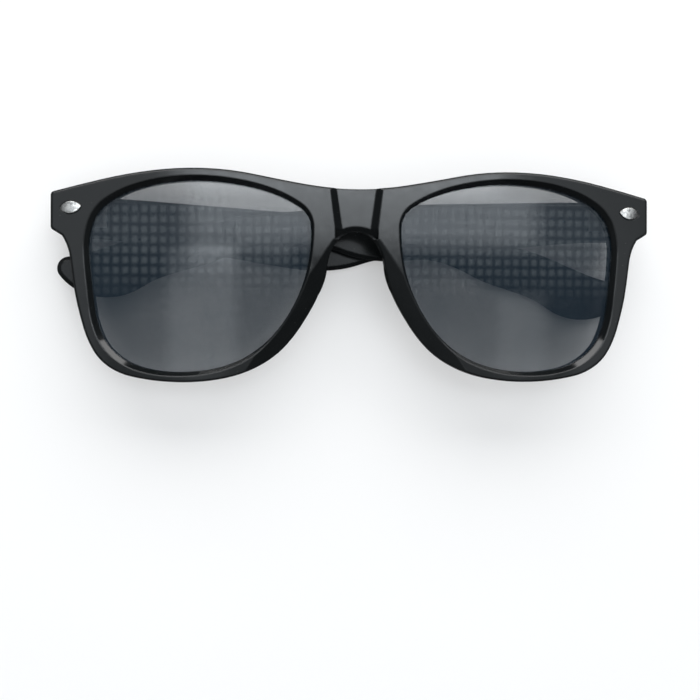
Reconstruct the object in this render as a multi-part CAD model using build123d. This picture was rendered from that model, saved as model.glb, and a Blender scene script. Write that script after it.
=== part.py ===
"""Folding spectacles with tinted lenses and diffraction film, folded and lying on their arms.

Millimetres and degrees. The front is drawn facing up: X runs across it, Y up the nose,
Z out towards the viewer. "Left" is the -X side. The right arm is folded first and lies
against the front, and the left arm is folded over it and rests on the table.
"""
from build123d import *
from math import asin, degrees, radians, tan
import os

# Front: outline, thickness and the gentle wrap across the face
front_width = 145.0
front_height = 50.95
front_thickness = 4.6
front_bend_radius = 750.0
corner_round = 1.0
edge_bevel = 0.4

# Lip round each eye opening, and the groove that holds the lens
bevel_depth = 1.3
bevel_top = 1.05
bevel_side = 1.45
bevel_shift = 0.45
groove_front = 2.0
groove_depth = 0.9

# Lens and film
lens_thickness = 1.2
film_thickness = 0.25
lens_play = 0.05

# Bridge recess, the sloped lip of its arch, and the facets and pads beside the nose
bridge_top_half = 6.4
bridge_foot_half = 5.2
bridge_wall_top = 1.5
bridge_wall_foot = 2.0
bridge_recess = 1.0
arch_lip = 1.1
nose_facet_angle = 25.0
pad_length = 13.0
pad_width = 4.4
pad_height = 4.6
pad_lean = 20.0

# End pieces, which carry the hinges
end_thickness = 7.0
end_width = 8.4

# Hinges: three steel knuckles on each side
hinge_height = 6.0
knuckle_radius = 1.4
hinge_gap = 0.05
knuckle_gap = 0.06
leaf_thickness = 0.9
front_leaf_length = 3.6
arm_leaf_length = 7.5
prong_depth = 2.2
arm_prong_depth = 1.7
prong_height = 3.0
prong_width = 1.2
screw_radius = 0.7
screw_play = 0.05
screw_head_radius = 1.15
screw_head_height = 0.6
screw_slot = 0.3
screw_slot_turn = 30.0
hinge_lean = 1.1

# Arms
arm_thickness = 3.2
arm_tip_thickness = 2.6
arm_length = 139.5
arm_edge_bevel = 0.9
arms_gap = 0.24
open_splay = 3.0
arm_front_gap = 0.06

# Almond-shaped studs, each with two pins
stud_length = 5.0
stud_width = 2.8
stud_depth = 0.6
stud_dome = 0.35
stud_play = 0.05
stud_pin_radius = 0.5
stud_pin_length = 1.6
stud_pin_spacing = 2.0
stud_from_end = 4.7
stud_tilt = 7.0
arm_stud_from_axis = 11.0

# Outlines as shares of the half width and half height of the front
TOP_SHARES = [(0.21, 0.867), (0.36, 0.957), (0.53, 1.0), (0.70, 0.962), (0.87, 0.865)]
TOP_MIDDLE_SHARE = 0.815
CORNER_SHARE = 0.770
END_LOW_SHARE = 0.430
SIDE_SHARES = [
    (0.963, 0.365), (0.949, 0.285), (0.937, 0.150), (0.921, -0.168), (0.896, -0.462), (0.857, -0.728),
    (0.792, -0.889), (0.706, -0.966), (0.590, -1.0), (0.465, -0.980), (0.352, -0.892), (0.241, -0.684),
    (0.178, -0.452), (0.131, -0.221), (0.103, -0.011), (0.090, 0.190), (0.071, 0.342),
]
ARCH_SHARE = 0.420

# Heights on the end pieces as shares of the front's half height
HINGE_SHARE = 0.598
STUD_SHARE = 0.625
END_BLOCK_SHARE = 0.39

# Where the slanted facet beside the nose starts and where it crosses the rim
FACET_START_SHARES = (0.077, 0.347)
FACET_END_SHARES = (0.176, -0.050)
PAD_SHARES = (0.138, -0.045)

# Eye opening: its size and centre as shares of the front's, then its outline about its own
# centre as shares of its half width and half height
EYE_SIZE_SHARES = (0.364, 0.895)
EYE_CENTRE_SHARES = (0.513, -0.007)
EYE_SHARES = [
    (-0.886, 0.737), (-0.617, 0.886), (-0.288, 0.972), (0.050, 1.0), (0.410, 0.956),
    (0.716, 0.842), (0.920, 0.655), (1.0, 0.276), (0.973, -0.114), (0.917, -0.500),
    (0.769, -0.806), (0.447, -0.976), (0.080, -1.0), (-0.273, -0.917), (-0.587, -0.693),
    (-0.811, -0.360), (-0.955, 0.053), (-0.990, 0.412),
]

# Side view of an arm. Lengths are shares of the straight part from the hinge, or past the bend
# shares of what is left. Heights from the hinge's middle are shares of the hinge height.
STRAIGHT_SHARE = 0.75
ARM_TOP_SHARES = [(0.116, 0.72), (0.32, 0.55), (0.51, 0.38), (0.68, 0.12), (0.845, -0.22), (1.0, -0.70)]
ARM_TIP_SHARES = [
    (0.365, -1.20), (0.68, -1.85), (1.0, -2.80), (0.886, -3.35), (0.726, -3.72),
    (0.547, -3.74), (0.365, -3.40), (0.228, -2.98), (0.046, -2.65),
]
ARM_LOW_SHARES = [
    (0.955, -2.35), (0.897, -1.85), (0.846, -1.45), (0.782, -1.36), (0.718, -1.38), (0.673, -1.52),
    (0.629, -1.80), (0.584, -1.97), (0.526, -1.97), (0.410, -1.72), (0.244, -1.28),
]
ARM_BUTT_SHARES = (0.80, -0.90)

# Where an arm starts to thin on its inner face and where it ends, as shares of its length
ARM_THIN_SHARES = (0.12, 0.45)

# How many pairs of arcs follow each smooth outline
brow_arcs = 6
rim_arcs = 20
eye_arcs = 12
arm_arcs = 20

half_width = front_width / 2
half_height = front_height / 2
eye_width = EYE_SIZE_SHARES[0] * front_width
eye_height = EYE_SIZE_SHARES[1] * front_height
eye_centre_x = EYE_CENTRE_SHARES[0] * half_width
eye_centre_y = EYE_CENTRE_SHARES[1] * half_height
hinge_y = HINGE_SHARE * half_height
stud_x = half_width - stud_from_end
stud_y = STUD_SHARE * half_height


def face_drop(x):
    """How far the curved face lies behind its middle."""
    return front_bend_radius - (front_bend_radius**2 - x**2) ** 0.5


axis_to_arm = knuckle_radius + hinge_gap
axis_x = half_width - arm_thickness - axis_to_arm
end_back_z = -face_drop(axis_x) - end_thickness
axis_z = end_back_z - axis_to_arm
over_fold = degrees(asin((arm_thickness + arms_gap) / (2 * axis_x)))
arm_straight = STRAIGHT_SHARE * front_width
through = 4 * (front_thickness + end_thickness)
reach = front_width

knuckle_share = hinge_height / 3
mid_low = -knuckle_share / 2
mid_high = knuckle_share / 2
hinge_low = -hinge_height / 2
hinge_high = hinge_height / 2
hole_radius = screw_radius + screw_play
clear_radius = knuckle_radius + 2 * hinge_gap


def on_front(shares):
    """Shares of the front's half width and half height, in millimetres."""
    return [(sx * half_width, sy * half_height) for sx, sy in shares]


def mirrored(points):
    """The mirror images of points on the right, in the opposite order."""
    return [(-x, y) for x, y in reversed(points)]


def smooth_pair(start, out, end, into):
    """Two arcs from one point and direction to another, which meet smoothly."""
    gap = end - start
    length = gap.dot(gap)
    along = gap.dot(out + into)
    arm = length / (along + (along**2 + 2 * (1 - out.dot(into)) * length) ** 0.5)
    meet = (start + out * arm + end - into * arm) / 2
    first = TangentArc(start, meet, tangent=out)
    return [first, TangentArc(meet, end, tangent=first % 1)]


def arcs_along(curve, count):
    """Pairs of arcs that follow a smooth curve closely, so that its walls are round faces."""
    edges = []
    for step in range(count):
        start, end = step / count, (step + 1) / count
        edges += smooth_pair(curve @ start, curve % start, curve @ end, curve % end)
    return edges


def front_outline():
    """The whole outline of the front: brow line, square end pieces, rims and the arch."""
    brow = on_front([(1.0, CORNER_SHARE)] + list(reversed(TOP_SHARES)))
    rims = on_front(SIDE_SHARES)
    low = on_front([(1.0, END_LOW_SHARE)])
    brow_line = Spline(*(brow + on_front([(0, TOP_MIDDLE_SHARE)]) + mirrored(brow)))
    rim_line = Spline(*(rims + on_front([(0, ARCH_SHARE)]) + mirrored(rims)))
    edges = arcs_along(brow_line, brow_arcs) + arcs_along(rim_line, rim_arcs)
    for path in (brow[:1] + low + rims[:1], mirrored(brow[:1] + low + rims[:1])):
        edges += Polyline(*path).edges()
    outline = make_face(edges)
    ends = outline.vertices().filter_by(lambda v: abs(v.X) > half_width - corner_round)
    return fillet(ends, corner_round)


def eye_face(grow_x=0.0, grow_y=0.0, shift=0.0):
    """The closed outline of one eye, drawn about its own centre."""
    half_x = eye_width / 2 + grow_x
    half_y = eye_height / 2 + grow_y
    points = [(sx * half_x + shift, sy * half_y) for sx, sy in EYE_SHARES]
    return make_face(arcs_along(Spline(*points, periodic=True), eye_arcs))


def eye_plane(depth=0.0):
    """The right lens lies in a flat plane that touches the curved face at the eye's middle."""
    tilt = degrees(asin(eye_centre_x / front_bend_radius))
    middle = (eye_centre_x, eye_centre_y, -face_drop(eye_centre_x))
    return Plane(origin=middle).rotated((0, tilt, 0)).offset(-depth)


def eye_slab(grow, top_depth, thickness):
    """A plate of the eye's outline, grown by one width all round."""
    return extrude(eye_plane(top_depth) * eye_face(grow, grow), -thickness)


def curved_plate(back_z, bend_back):
    """The front's thickness seen from above: a curved outer face, and a curved or flat back."""
    drop = face_drop(reach)
    face = ThreePointArc((-reach, -drop), (0, 0), (reach, -drop))
    low = back_z - drop * bend_back
    if bend_back:
        back = ThreePointArc((reach, low), (0, back_z), (-reach, low))
    else:
        back = Line((reach, low), (-reach, low))
    sides = [Line(face @ 1, back @ 0), Line(back @ 1, face @ 0)]
    section = Plane.XZ * make_face([face, back] + sides)
    return extrude(section, front_height, both=True)


def end_zone():
    """Where the front is thick enough to carry the hinges, on the right."""
    size = (end_width * 2, front_height, through)
    corner = (half_width - end_width, END_BLOCK_SHARE * half_height, 0)
    block = Pos(*corner) * Box(*size, align=(Align.MIN, Align.MIN, Align.CENTER))
    inner = block.edges().filter_by(Axis.Z).group_by(Axis.X)[0]
    return fillet(inner, corner_round)


def bevel_cutter():
    """The sloped lip round the front of an eye opening, carried on past the face."""
    rise = bevel_depth / 2
    wide = (bevel_depth + rise) / bevel_depth
    foot = eye_plane(bevel_depth) * eye_face()
    mouth = eye_plane(-rise) * eye_face(bevel_side * wide, bevel_top * wide, bevel_shift * wide)
    return loft([foot, mouth], ruled=True)


def bridge_section(y, half, wall):
    """Cross section of the bridge recess, wider at the face than at its floor."""
    floor = half - wall
    mouth = half + wall
    points = [
        (-floor, -bridge_recess), (floor, -bridge_recess),
        (mouth, bridge_recess), (-mouth, bridge_recess),
    ]
    return make_face(Polyline(*[(x, y, z) for x, z in points], close=True))


def bridge_cutter():
    """The recessed middle of the bridge, narrowing towards the arch."""
    top_y = TOP_MIDDLE_SHARE * half_height
    foot_y = ARCH_SHARE * half_height
    slope = (bridge_top_half - bridge_foot_half) / (top_y - foot_y)
    spare = front_thickness
    top = bridge_section(top_y + spare, bridge_top_half + slope * spare, bridge_wall_top)
    foot = bridge_section(foot_y - spare, bridge_foot_half - slope * spare, bridge_wall_foot)
    return loft([top, foot])


def arch_cutter():
    """The sloped lip under the bridge recess, round the arch."""
    side_x, side_y = on_front(SIDE_SHARES[-1:])[0]
    rise = ARCH_SHARE * half_height - side_y
    radius = (side_x**2 + rise**2) / (2 * rise)
    height = bridge_recess + arch_lip
    cone = Cone(radius, radius + height, height, align=(Align.CENTER, Align.CENTER, Align.MAX))
    keep = Box(2 * side_x, 2 * half_height, through, align=(Align.CENTER, Align.MIN, Align.CENTER))
    return Pos(0, side_y + rise - radius, 0) * cone & Pos(0, side_y, 0) * keep


def nose_facet_cutter():
    """A slanted cut that thins the rim on the nose side, on the right."""
    start, end = [Vector(x, y, 0) for x, y in on_front([FACET_START_SHARES, FACET_END_SHARES])]
    line = Plane(origin=start, x_dir=(end - start).normalized(), z_dir=(0, 0, 1))
    block = Box(front_width, front_width, through, align=(Align.MIN, Align.MAX, Align.MIN))
    wedge = line * (Rot(nose_facet_angle, 0, 0) * block)
    right_half = Box(front_width, 2 * front_width, 2 * through, align=(Align.MIN, Align.CENTER, Align.CENTER))
    return wedge & right_half


def nose_pad():
    """A pad moulded on the back of the rim beside the nose, on the right."""
    x, y = on_front([PAD_SHARES])[0]
    ball = scale(Sphere(pad_width / 2), by=(1, pad_length / pad_width, 2 * pad_height / pad_width))
    keep = Box(pad_length, pad_length, 2 * pad_height, align=(Align.CENTER, Align.CENTER, Align.MAX))
    pad = ball & (Pos(0, 0, front_thickness / 2) * keep)
    return Pos(x, y, -front_thickness) * Rot(0, 0, pad_lean) * Rot(0, -nose_facet_angle / 2, 0) * pad


def almond(length, width):
    """An outline of two arcs that meet in points."""
    half = length / 2
    rise = width / 2
    upper = ThreePointArc((-half, 0), (0, rise), (half, 0))
    lower = ThreePointArc((half, 0), (0, -rise), (-half, 0))
    return make_face([upper, lower])


def stud_pins(room):
    """The two pins under a stud, or with room the holes for them."""
    pin = Cylinder(stud_pin_radius + room, stud_pin_length + room, align=(Align.CENTER, Align.CENTER, Align.MAX))
    return [Pos(side * stud_pin_spacing / 2, 0, 0) * pin for side in (-1, 1)]


def stud(top):
    """A domed almond stud with two pins, its base at zero. The dome ends at the given height."""
    radius = (stud_length**2 / 4 + stud_dome**2) / (2 * stud_dome)
    plate = extrude(almond(stud_length, stud_width), top)
    dome = Pos(0, 0, top - radius) * Rot(90, 0, 0) * Cylinder(radius, stud_length)
    return (plate & dome) + stud_pins(0)


def stud_seat():
    """The pocket and the two blind holes that a stud sits in."""
    room = 2 * stud_play
    pocket = extrude(almond(stud_length + room, stud_width + room), 2 * stud_depth)
    return pocket + stud_pins(stud_play / 2)


def corner_stud_place():
    """The stud's base on the right end piece, square to the curved face and tilted."""
    lean = degrees(asin(stud_x / front_bend_radius))
    plane = Plane(origin=(stud_x, stud_y, -face_drop(stud_x)))
    return plane.rotated((0, lean, 0)).rotated((0, 0, -stud_tilt)).offset(-stud_depth)


def arm_stud_place():
    """The stud's base in the arm's outer face, drawn with the arm pointing straight back."""
    outer = axis_to_arm + arm_thickness
    plane = Plane(origin=(outer, 0, -arm_stud_from_axis), x_dir=(0, 0, -1), z_dir=(1, 0, 0))
    return plane.offset(-stud_depth)


def hinge_place(side, turn=0.0):
    """A hinge's own frame in the model: its axis along Y, leaning, then turned about the axis."""
    return Pos(side * axis_x, hinge_y, axis_z) * Rot(0, 0, -hinge_lean) * Rot(0, turn, 0)


def on_side(shape, side):
    """Pieces are drawn for the right side. The left ones are their mirror images."""
    return shape if side > 0 else mirror(shape, about=Plane.YZ)


def rod(radius, low, high):
    """A round rod on the hinge axis."""
    return Pos(0, (low + high) / 2, 0) * Rot(90, 0, 0) * Cylinder(radius, high - low)


def front_leaf():
    """The hinge leaf on the front: two knuckles, a plate and a prong moulded into the end piece."""
    plate = Box(front_leaf_length, hinge_height, leaf_thickness, align=(Align.MAX, Align.CENTER, Align.MAX))
    leaf = Pos(0, 0, axis_to_arm) * plate
    leaf -= rod(clear_radius, mid_low - knuckle_gap, mid_high + knuckle_gap)
    leaf += rod(knuckle_radius, hinge_low, mid_low - knuckle_gap)
    leaf += rod(knuckle_radius, mid_high + knuckle_gap, hinge_high)
    leaf -= rod(hole_radius, 2 * hinge_low, 2 * hinge_high)
    return leaf + front_prong(0.0)


def front_prong(room):
    """The prong of the front leaf, or with room its socket."""
    size = (prong_width + 2 * room, prong_height + 2 * room, prong_depth + room)
    prong = Box(*size, align=(Align.CENTER, Align.CENTER, Align.MIN))
    return Pos(-front_leaf_length + prong_width, 0, axis_to_arm) * prong


def arm_leaf():
    """The hinge leaf on an arm, drawn with the arm pointing straight back: one knuckle and a plate."""
    plate = Box(leaf_thickness, hinge_height, arm_leaf_length, align=(Align.MAX, Align.CENTER, Align.MAX))
    leaf = Pos(axis_to_arm, 0, 0) * plate
    leaf -= rod(clear_radius, 2 * hinge_low, mid_low)
    leaf -= rod(clear_radius, mid_high, 2 * hinge_high)
    leaf += rod(knuckle_radius, mid_low, mid_high)
    leaf -= rod(hole_radius, 2 * hinge_low, 2 * hinge_high)
    return leaf + arm_prong(0.0)


def arm_prong(room):
    """The prong of the arm leaf, or with room its socket in the arm."""
    size = (arm_prong_depth + room, prong_height + 2 * room, prong_width + 2 * room)
    prong = Box(*size, align=(Align.MIN, Align.CENTER, Align.CENTER))
    return Pos(axis_to_arm, 0, -arm_leaf_length + prong_width) * prong


def hinge_screw():
    """A slotted screw that fills both leaves, its head on the top knuckle."""
    head_top = hinge_high + screw_head_height
    head = rod(screw_head_radius, hinge_high, head_top)
    head = chamfer(head.edges().group_by(Axis.Y)[-1], screw_head_height / 3)
    slot = Box(2 * screw_head_radius + screw_slot, 2 * screw_slot, screw_slot)
    screw = rod(screw_radius, hinge_low, hinge_high) + head
    return screw - Pos(0, head_top, 0) * Rot(0, screw_slot_turn, 0) * slot


def arm_side():
    """Side view of an arm: how far back from the axis, and how high above its middle."""
    def straight(shares):
        return [(-sx * arm_straight, sy * hinge_height) for sx, sy in shares]

    past = arm_length - arm_straight
    tip = [(-arm_straight - sx * past, sy * hinge_height) for sx, sy in ARM_TIP_SHARES]
    butt_top, butt_low = [(axis_to_arm, share * hinge_height) for share in ARM_BUTT_SHARES]
    edge = Spline(*([butt_top] + straight(ARM_TOP_SHARES) + tip + straight(ARM_LOW_SHARES) + [butt_low]))
    return make_face(arcs_along(edge, arm_arcs) + [Line(butt_low, butt_top)])


def arm_plan():
    """Plan of an arm: flat outside, thinner towards the tip, its butt cut for the splay when open."""
    inner = axis_to_arm
    outer = axis_to_arm + arm_thickness
    thin = inner + arm_thickness - arm_tip_thickness
    butt = axis_to_arm - arm_front_gap
    lean = tan(radians(open_splay))
    start, end = [share * arm_length for share in ARM_THIN_SHARES]
    points = [
        (inner, butt - inner * lean), (outer, butt - outer * lean),
        (outer, -front_width - arm_length), (thin, -front_width - arm_length), (thin, -end), (inner, -start),
    ]
    return make_face(Polyline(*[(x, 0, z) for x, z in points], close=True))


def arm_body():
    """One arm, pointing straight back: the side view crossed with the plan, its edges bevelled."""
    side = extrude(Plane.ZY * arm_side(), front_width, both=True)
    plan = extrude(arm_plan(), front_width, both=True)
    body = side & plan
    return chamfer(body.edges().filter_by(GeomType.LINE, reverse=True), arm_edge_bevel)


def curved_faces(body):
    """The curved outer face and the curved back, if there is one, the outer face last."""
    return body.faces().filter_by(GeomType.CYLINDER).sort_by(SortBy.AREA)[-2:].sort_by(Axis.Z)


def front_blank():
    """The front before its openings: thin rims and thick end pieces, with bevelled edges."""
    thick = extrude(front_outline(), through, both=True) & curved_plate(end_back_z, 0)
    thick = chamfer(curved_faces(thick)[-1].edges(), edge_bevel)
    right_end = thick & end_zone()
    rims = thick & curved_plate(-front_thickness, 1)
    rims = chamfer(curved_faces(rims)[0].edges(), edge_bevel)
    return rims + right_end + mirror(right_end, about=Plane.YZ)


def front_frame():
    """The moulded front."""
    front = front_blank()
    front += nose_pad() + mirror(nose_pad(), about=Plane.YZ)
    cuts = [
        eye_slab(0.0, -through / 2, through),
        eye_slab(groove_depth, groove_front, lens_thickness + film_thickness),
        bevel_cutter(),
        nose_facet_cutter(),
        corner_stud_place() * stud_seat(),
    ]
    for cut in cuts:
        front -= cut
        front -= mirror(cut, about=Plane.YZ)
    front -= bridge_cutter()
    front -= arch_cutter()
    for side in (-1, 1):
        front -= hinge_place(side) * on_side(front_prong(hinge_gap / 2), side)
    return front


def temple():
    """One arm for the right side, with the sockets for its leaf and its stud."""
    return arm_body() - arm_prong(hinge_gap / 2) - arm_stud_place() * stud_seat()


def folded(shape, side):
    """Swings a piece drawn on the right, arm straight back, to where it rests on its side."""
    return hinge_place(side, side * 90 + over_fold) * on_side(shape, side)


def pieces():
    """Every piece by name, with the front face up and the bridge in the middle."""
    made = {"front_frame": front_frame()}
    lens = eye_slab(groove_depth - lens_play, groove_front, lens_thickness)
    film = eye_slab(groove_depth - lens_play, groove_front + lens_thickness, film_thickness)
    arm = temple()
    arm_stud = arm_stud_place() * stud(stud_depth)
    corner_stud = corner_stud_place() * stud(stud_depth + stud_dome)
    for side, word in ((-1, "left"), (1, "right")):
        made[f"lens_{word}"] = on_side(lens, side)
        made[f"diffraction_film_{word}"] = on_side(film, side)
        made[f"corner_stud_{word}"] = on_side(corner_stud, side)
        made[f"front_hinge_leaf_{word}"] = hinge_place(side) * on_side(front_leaf(), side)
        made[f"hinge_screw_{word}"] = hinge_place(side) * on_side(hinge_screw(), side)
        made[f"temple_{word}"] = folded(arm, side)
        made[f"temple_hinge_leaf_{word}"] = folded(arm_leaf(), side)
        made[f"temple_stud_{word}"] = folded(arm_stud, side)
    return made


def laid_down(made):
    """Turns the model so that the left arm's outer face lies on the table, and centres it."""
    turned = {name: Rot(0, -over_fold, 0) * shape for name, shape in made.items()}
    box = Compound(children=list(turned.values())).bounding_box()
    shift = Pos(-(box.min.X + box.max.X) / 2, -(box.min.Y + box.max.Y) / 2, -box.min.Z)
    return {name: shift * shape for name, shape in turned.items()}


def save(shape, name):
    """Writes one node."""
    solid = shape.solid()
    solid.label = name
    export_step(solid, f"parts/{name}.step")


os.makedirs("parts", exist_ok=True)
for name, shape in laid_down(pieces()).items():
    save(shape, name)
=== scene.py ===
"""Looks for the folded diffraction glasses: camera, light, table and materials, in metres."""

from math import radians

import bpy
from mathutils import Matrix, Vector

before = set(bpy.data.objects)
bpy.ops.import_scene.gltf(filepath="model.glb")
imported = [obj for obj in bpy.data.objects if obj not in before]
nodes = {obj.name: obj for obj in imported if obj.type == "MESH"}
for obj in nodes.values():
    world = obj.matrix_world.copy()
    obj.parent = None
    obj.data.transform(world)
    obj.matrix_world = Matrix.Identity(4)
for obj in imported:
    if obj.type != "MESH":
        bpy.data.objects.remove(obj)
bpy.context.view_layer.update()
scene = bpy.context.scene

# Camera: stands over the glasses, a little to their left, and looks almost straight down
IMAGE_PIXELS = 700
FOCAL_PIXELS = 1160
SENSOR = 36.0                      # millimetres
VIEW_AZIMUTH = radians(6.39)
VIEW_ROLL = radians(-0.07)
VIEW_OFFSET = (-0.0002, 0.01775)   # the origin's place in the camera's own x and y
VIEW_DISTANCE = 0.2950
VIEW_CLIP = (0.01, 20)

# Moulded plastic
PLASTIC_TONES = ((0.0040, 0.0048, 0.0052, 1), (0.0070, 0.0080, 0.0084, 1))
PLASTIC_HAZE = 0.06                # how much the roughness varies
PLASTIC_IOR = 1.49
PLASTIC_EDGE = 0.0005              # radius at which an edge looks softened
DUST_TONE = (0.20, 0.20, 0.19, 1)
DUST_COVER = 0.35                  # how far a speck hides the plastic
DUST_ROUGH = 0.3                   # and how much rougher it is

# Lenses, and the film behind them with its grid of cells
LENS_TONES = ((0.002, 0.010, 0.020, 1), (0.003, 0.014, 0.026, 1))
LENS_ALPHA = (0.47, 0.50)
LENS_ROUGH = (0.02, 0.05)
LENS_IOR = 1.6
HAZE_TONE = (0.046, 0.060, 0.072, 1)
FILM_TONE = (0.66, 0.71, 0.74, 1)
FILM_ALPHA = (0.01, 0.12)          # on the lines, and what a cell adds
FILM_ROUGH = (0.30, 0.42)
CELL_PITCH = (0.00225, 0.00245, 1.0)   # across, along, and in depth, where there is no grid
CELL_EDGE = (0.16, 0.46)           # shares of a cell from its middle: full haze, and none
CELL_STRENGTH_SPREAD = (0.66, 1.0)            # a cell's strength, weaker in some places than in others
# Painted sheen: the film's grid runs all over, but the fades below keep its pale cells to a band
CHIN_FADE = (-0.007, 0.002)        # no cells below the first height, all above the second
BROW_FADE = (0.016, 0.021)         # all cells below the first height, fewer above the second
BROW_CELLS = 0.3

# Metal, as shares of its own tone
GRAIN_DARK = 0.82
STAIN_DARK = 0.35
METAL_HAZE = 0.16                  # how much the roughness varies
METAL_EDGE = 0.0002                # radius at which an edge looks softened

# Table
TABLE_RADIUS = 2.0
TABLE_SIDES = 128
TABLE_TOP = -0.00005               # a hair below the glasses, so that no faces coincide
TABLE_TONES = ((0.86, 0.86, 0.86, 1), (0.88, 0.88, 0.88, 1))
# Painted reflection: glossy faces see the table near black instead of white
TABLE_PAINTED_REFLECTION = (0.02, 0.02, 0.02, 1)
PAINTED_REFLECTION_SHARE = 0.85              # how far the table goes to that tone in glossy surfaces
TABLE_LIFT = 0.35                  # how far it goes to plain white where nothing is in front
WHITE = (1, 1, 1, 1)

# Room, by the upward part of a direction: dark below the first, bright above the second
ROOM_RISE = (0.70, 0.91)
ROOM_LIGHT = (0.05, 0.88)
ROOM_TINT = (0.93, 0.99, 1.04, 1)
LEAST_RISE = 0.01                  # keeps the slopes finite at the horizon
# Lighter and darker patches overhead, as the glossy faces mirror them:
# slopes from straight up (left, right, low, high), softness, and how much brighter or darker
SKY = (
    ((-0.33, 0.41, -0.30, 0.090), 0.010, 0.45),
    ((-0.178, 0.330, 0.092, 0.145), 0.012, 3.9),
    ((-0.212, 0.300, 0.145, 0.300), 0.012, 4.3),
    ((-0.178, -0.090, 0.068, 0.090), 0.006, 2.0),
    ((-0.196, -0.138, -0.020, 0.088), 0.006, 4.0),
    ((0.295, 0.338, -0.020, 0.050), 0.006, 3.2),
)

# Lamps: name, place, size, power, and whether glossy surfaces mirror it
LAMPS = (
    ("key", (0.06, 1.00, 0.68), (2.0, 0.8), 21.0, True),
    ("fill", (0.0, -0.1, 1.0), (1.6, 1.6), 5.2, False),
)
LAMP_TARGET = (0, 0, 0)

NOISE_SPAN = (0.3, 0.7)            # most of a noise's values lie in here


class Nodes:
    """Builds the node tree of a material or a world, a node per call."""

    def __init__(self, owner):
        owner.use_nodes = True
        self.owner = owner
        self.tree = owner.node_tree
        self.tree.nodes.clear()

    def add(self, kind, settings=None, **sockets):
        """Adds a node. i0, i1 and so on name a socket by number; _ stands for a space."""
        node = self.tree.nodes.new(kind)
        for key, value in (settings or {}).items():
            setattr(node, key, value)
        for key, value in sockets.items():
            number = key[1:]
            socket = node.inputs[int(number) if number.isdigit() else key.replace("_", " ")]
            if isinstance(value, bpy.types.NodeSocket):
                self.tree.links.new(value, socket)
            else:
                socket.default_value = value
        return node

    def coordinates(self, scale):
        """The object's own coordinates, stretched."""
        place = self.add("ShaderNodeTexCoord").outputs["Object"]
        return self.add("ShaderNodeMapping", Vector=place, Scale=scale).outputs["Vector"]

    def noise(self, scale, detail, rough=0.5, stretch=(1, 1, 1)):
        """A noise of 0 to 1; scale counts its patches in a metre."""
        place = self.coordinates(stretch)
        return self.add(
            "ShaderNodeTexNoise", Vector=place, Scale=scale, Detail=detail, Roughness=rough
        ).outputs["Fac"]

    def levels(self, value, start, end, low, high):
        """Maps start to end onto low to high, and holds it there outside."""
        return self.add(
            "ShaderNodeMapRange", i0=value, i1=start, i2=end, i3=low, i4=high
        ).outputs[0]

    def spread(self, noise, low, high, span=NOISE_SPAN):
        """Maps a span of a noise's values onto low to high."""
        return self.levels(noise, *span, low, high)

    def math(self, operation, a, b=0.0):
        return self.add("ShaderNodeMath", {"operation": operation}, i0=a, i1=b).outputs[0]

    def product(self, first, *others):
        for other in others:
            first = self.math("MULTIPLY", first, other)
        return first

    def blend(self, factor, a, b):
        """Colour a, going to colour b as the factor goes from 0 to 1."""
        return self.add("ShaderNodeMix", {"data_type": "RGBA"}, i0=factor, i6=a, i7=b).outputs[2]

    def bump(self, height, strength, distance, normal):
        return self.add(
            "ShaderNodeBump", Height=height, Strength=strength, Distance=distance, Normal=normal
        ).outputs["Normal"]

    def soft_edges(self, radius):
        """The surface's direction, rounded over at the edges."""
        return self.add("ShaderNodeBevel", {"samples": 6}, Radius=radius).outputs["Normal"]

    def surface(self, **sockets):
        """Ends a material with its shader."""
        shader = self.add("ShaderNodeBsdfPrincipled", **sockets).outputs[0]
        self.add("ShaderNodeOutputMaterial", Surface=shader)
        return self.owner


def moulded_plastic(name, gloss, rough):
    """Black moulded plastic: faint flow, polish haze, softened edges and a few dust specks."""
    n = Nodes(bpy.data.materials.new(name))
    flow = n.spread(n.noise(scale=60, detail=4.0, rough=0.6), 0.0, 1.0)
    specks = n.spread(n.noise(scale=2600, detail=2.0), 0.0, 1.0, span=(0.74, 0.80))
    tone = n.blend(flow, *PLASTIC_TONES)
    tone = n.blend(n.product(specks, DUST_COVER), tone, DUST_TONE)
    haze = n.spread(n.noise(scale=420, detail=3.0), rough, rough + PLASTIC_HAZE)
    haze = n.math("ADD", haze, n.product(specks, DUST_ROUGH))
    wave = n.noise(scale=180, detail=2.0)
    ripple = n.bump(wave, strength=0.05, distance=0.0002, normal=n.soft_edges(PLASTIC_EDGE))
    return n.surface(
        Base_Color=tone, Roughness=haze, Normal=ripple, IOR=PLASTIC_IOR, Specular_IOR_Level=gloss
    )


def film_cells(n):
    """1 in the film's cells and 0 on the lines between them, uneven in strength. The grid is the
    film's own; its fading towards chin and brow is painted sheen, which keeps the pale cells to
    a band across the lens.
    """
    cells_per_metre = tuple(1 / side for side in CELL_PITCH)
    place = n.add("ShaderNodeSeparateXYZ", Vector=n.coordinates(cells_per_metre)).outputs
    sides = []
    for axis in (0, 1):
        cell = n.math("FRACT", place[axis])
        off_middle = n.math("ABSOLUTE", n.math("SUBTRACT", cell, 0.5))
        sides.append(n.levels(off_middle, *CELL_EDGE, 1.0, 0.0))
    cell_strength = n.spread(n.noise(scale=75, detail=2.0), *CELL_STRENGTH_SPREAD, span=(0.35, 0.65))
    height = n.product(place[1], CELL_PITCH[1])
    # Painted sheen: the cells fade out towards chin and brow, though the film's grid runs all
    # over
    chin = n.levels(height, *CHIN_FADE, 0.0, 1.0)
    brow = n.levels(height, *BROW_FADE, 1.0, BROW_CELLS)
    return n.product(*sides, cell_strength, chin, brow)


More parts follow.
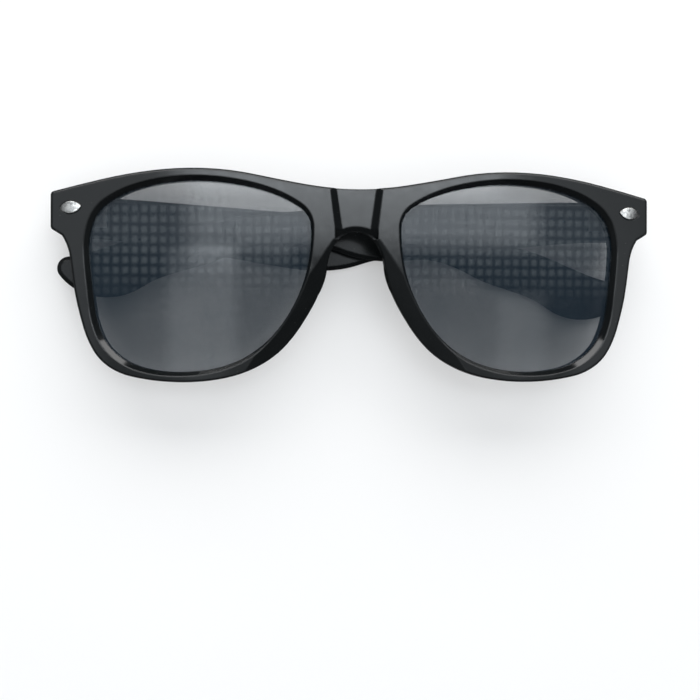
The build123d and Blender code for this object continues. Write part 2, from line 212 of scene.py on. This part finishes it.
def tinted_lens():
    """Dark see-through plastic with a trace of blue, and the haze of the film bonded to it."""
    n = Nodes(bpy.data.materials.new("tinted_lens"))
    cloud = n.noise(scale=90, detail=3.0)
    tone = n.blend(cloud, *LENS_TONES)
    tone = n.blend(film_cells(n), tone, HAZE_TONE)
    alpha = n.spread(cloud, *LENS_ALPHA)
    rough = n.spread(n.noise(scale=700, detail=2.0), *LENS_ROUGH)
    return n.surface(Base_Color=tone, Alpha=alpha, Roughness=rough, IOR=LENS_IOR)


def diffraction_film():
    """Clear film embossed with a grid of fine cells, each a soft pale square."""
    n = Nodes(bpy.data.materials.new("diffraction_film"))
    clear, cell = FILM_ALPHA
    alpha = n.math("ADD", n.product(film_cells(n), cell), clear)
    rough = n.spread(n.noise(scale=900, detail=2.0), *FILM_ROUGH)
    return n.surface(Base_Color=FILM_TONE, Alpha=alpha, Roughness=rough)


def shade(tone, share):
    """A tone at a share of its brightness, as an opaque colour."""
    return tuple(c * share for c in tone) + (1,)


def satin_metal(name, tone, rough, grain, stain):
    """Brushed or satin metal: fine grain, and darker patches where it has dulled."""
    n = Nodes(bpy.data.materials.new(name))
    lines = n.noise(scale=900, detail=3.0, rough=0.6, stretch=grain)
    dull = n.spread(n.noise(scale=1100, detail=3.0, rough=0.6), 0.0, stain, span=(0.42, 0.60))
    colour = n.blend(lines, shade(tone, GRAIN_DARK), shade(tone, 1))
    colour = n.blend(dull, colour, shade(tone, STAIN_DARK))
    roughness = n.spread(lines, rough, rough + METAL_HAZE)
    fine = n.bump(lines, strength=0.15, distance=0.00005, normal=n.soft_edges(METAL_EDGE))
    return n.surface(Base_Color=colour, Metallic=1.0, Roughness=roughness, Normal=fine)


def dress(part, material):
    """Gives a CAD node its material."""
    mesh = nodes[part].data
    mesh.materials.clear()
    mesh.materials.append(material)


def dress_all():
    """Gives every piece its material; all but the front come in pairs."""
    plastic = moulded_plastic("moulded_plastic", gloss=0.5, rough=0.06)
    arm_plastic = moulded_plastic("arm_plastic", gloss=0.28, rough=0.18)
    lens = tinted_lens()
    film = diffraction_film()
    silver = satin_metal(
        "stud_silver", tone=(0.72, 0.71, 0.69), rough=0.22, grain=(1, 1, 1), stain=0.8
    )
    steel = satin_metal(
        "hinge_steel", tone=(0.60, 0.60, 0.59), rough=0.28, grain=(1, 8, 1), stain=0.3
    )
    screw = satin_metal(
        "screw_steel", tone=(0.66, 0.66, 0.65), rough=0.24, grain=(1, 1, 1), stain=0.3
    )
    pairs = {
        "lens": lens,
        "diffraction_film": film,
        "temple": arm_plastic,
        "corner_stud": silver,
        "temple_stud": silver,
        "front_hinge_leaf": steel,
        "temple_hinge_leaf": steel,
        "hinge_screw": screw,
    }
    dress("front_frame", plastic)
    for piece, material in pairs.items():
        for side in ("left", "right"):
            dress(f"{piece}_{side}", material)


def camera():
    """The photograph's viewpoint."""
    turn = Matrix.Rotation(VIEW_ROLL, 3, "Z") @ Matrix.Rotation(VIEW_AZIMUTH, 3, "Y")
    back = turn.transposed()
    place = -(back @ Vector((*VIEW_OFFSET, -VIEW_DISTANCE)))
    data = bpy.data.cameras.new("camera")
    data.sensor_width = SENSOR
    data.lens = FOCAL_PIXELS / IMAGE_PIXELS * SENSOR
    data.clip_start, data.clip_end = VIEW_CLIP
    eye = bpy.data.objects.new("camera", data)
    eye.matrix_world = Matrix.Translation(place) @ back.to_4x4()
    scene.collection.objects.link(eye)
    scene.camera = eye


def table():
    """A round white table that keeps the object's shadow.

    It reads paler where nothing is in front of it, and glossy surfaces show it dark, a painted
    reflection.
    """
    bpy.ops.mesh.primitive_circle_add(
        vertices=TABLE_SIDES, radius=TABLE_RADIUS, fill_type="NGON", location=(0, 0, TABLE_TOP)
    )
    plane = bpy.context.object
    plane.name = "table"
    n = Nodes(bpy.data.materials.new("table_white"))
    path = n.add("ShaderNodeLightPath").outputs
    tone = n.blend(n.noise(scale=14, detail=2.0), *TABLE_TONES)
    # Painted reflection: glossy rays see the table near black
    tone = n.blend(n.product(path["Is Glossy Ray"], PAINTED_REFLECTION_SHARE), tone, TABLE_PAINTED_REFLECTION)
    bare = n.math("LESS_THAN", path["Transparent Depth"], 0.5)
    lift = n.product(path["Is Camera Ray"], bare, TABLE_LIFT)
    paper = n.add("ShaderNodeBsdfDiffuse", Color=tone).outputs[0]
    white = n.add("ShaderNodeEmission", Color=WHITE, Strength=1.0).outputs[0]
    mix = n.add("ShaderNodeMixShader", i0=lift, i1=paper, i2=white).outputs[0]
    n.add("ShaderNodeOutputMaterial", Surface=mix)
    plane.data.materials.append(n.owner)


def sky_patch(n, across, along, box, soft):
    """1 for sky directions inside a box of slopes, fading to 0 over a soft margin."""
    left, right, low, high = box
    edges = []
    for slope, start, end in ((across, left, right), (along, low, high)):
        edges.append(n.levels(slope, start - soft, start + soft, 0.0, 1.0))
        edges.append(n.levels(slope, end - soft, end + soft, 1.0, 0.0))
    return n.product(*edges)


def surroundings():
    """A room, bright overhead and dark lower down. Past the table the camera sees white."""
    world = bpy.data.worlds.new("studio")
    scene.world = world
    n = Nodes(world)
    toward = n.add("ShaderNodeTexCoord").outputs["Generated"]
    way = n.add("ShaderNodeSeparateXYZ", Vector=toward).outputs
    height = n.math("MAXIMUM", way[2], LEAST_RISE)
    across = n.math("DIVIDE", way[0], height)
    along = n.math("DIVIDE", way[1], height)
    light = n.levels(way[2], *ROOM_RISE, *ROOM_LIGHT)
    for box, soft, gain in SKY:
        patch = sky_patch(n, across, along, box, soft)
        light = n.product(light, n.levels(patch, 0.0, 1.0, 1.0, gain))
    room = n.add("ShaderNodeBackground", Color=ROOM_TINT, Strength=light).outputs[0]
    white = n.add("ShaderNodeBackground", Color=WHITE, Strength=1.0).outputs[0]
    seen = n.add("ShaderNodeLightPath").outputs["Is Camera Ray"]
    mix = n.add("ShaderNodeMixShader", i0=seen, i1=room, i2=white).outputs[0]
    n.add("ShaderNodeOutputWorld", Surface=mix)


def lamp(name, place, size, power, mirrored):
    """A soft rectangular lamp aimed at the glasses; an unmirrored one gives no glints."""
    data = bpy.data.lights.new(name, "AREA")
    data.shape = "RECTANGLE"
    data.size, data.size_y = size
    data.energy = power
    light = bpy.data.objects.new(name, data)
    light.location = place
    aim = Vector(LAMP_TARGET) - Vector(place)
    light.rotation_euler = aim.to_track_quat("-Z", "Y").to_euler()
    light.visible_glossy = mirrored
    scene.collection.objects.link(light)


dress_all()
camera()
table()
surroundings()
for settings in LAMPS:
    lamp(*settings)
scene.view_settings.view_transform = "Standard"
